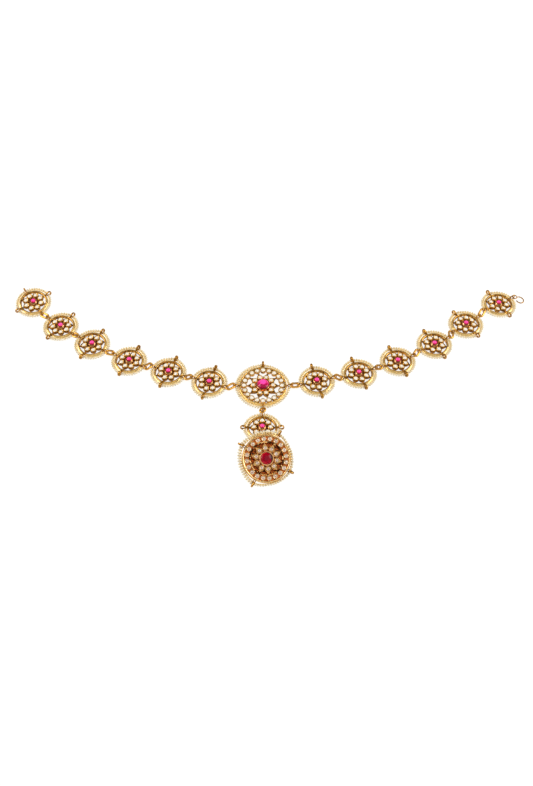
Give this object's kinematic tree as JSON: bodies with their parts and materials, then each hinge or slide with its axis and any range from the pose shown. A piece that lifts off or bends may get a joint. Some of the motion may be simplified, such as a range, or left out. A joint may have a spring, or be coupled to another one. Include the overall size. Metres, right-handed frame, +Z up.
{
  "type": "sheeshphool headpiece",
  "caption": "Gold headpiece band of openwork ruby and diamond rosettes edged with seed pearl strings, with a drop, a large pendant and a hook clasp, lying spread out.",
  "frame": {"origin": "middle of the bounding box at the surface that the headpiece lies on", "axes": "+X along the band towards the hook, +Y away from the pendant, +Z up from the surface"},
  "size_m": [0.3096, 0.1432, 0.0162],
  "materials": {
    "gold": "polished gold with darker recesses",
    "ruby": "clear polished stone, foiled behind",
    "pearl": "satin cream nacre"
  },
  "bodies": {
    "root": {"frame_01": "gold", "ruby_01": "ruby", "pearls_01": "pearl", "frame_02": "gold", "ruby_02": "ruby", "pearls_02": "pearl", "frame_03": "gold", "ruby_03": "ruby", "pearls_03": "pearl", "frame_04": "gold", "ruby_04": "ruby", "pearls_04": "pearl", "frame_05": "gold", "ruby_05": "ruby", "pearls_05": "pearl", "frame_06": "gold", "ruby_06": "ruby", "pearls_06": "pearl", "frame_centre": "gold", "ruby_centre": "ruby", "pearls_centre": "pearl", "frame_07": "gold", "ruby_07": "ruby", "pearls_07": "pearl", "frame_08": "gold", "ruby_08": "ruby", "pearls_08": "pearl", "frame_09": "gold", "ruby_09": "ruby", "pearls_09": "pearl", "frame_10": "gold", "ruby_10": "ruby", "pearls_10": "pearl", "frame_11": "gold", "ruby_11": "ruby", "pearls_11": "pearl", "frame_12": "gold", "ruby_12": "ruby", "pearls_12": "pearl", "frame_drop": "gold", "ruby_drop": "ruby", "pearls_drop": "pearl", "frame_pendant": "gold", "ruby_pendant": "ruby", "pearls_pendant": "pearl", "link_01_02": "gold", "link_02_03": "gold", "link_03_04": "gold", "link_04_05": "gold", "link_05_06": "gold", "link_06_centre": "gold", "link_centre_07": "gold", "link_07_08": "gold", "link_08_09": "gold", "link_09_10": "gold", "link_10_11": "gold", "link_11_12": "gold", "link_centre_drop": "gold", "link_drop_pendant": "gold", "hook": "gold"}
  },
  "joints": []
}
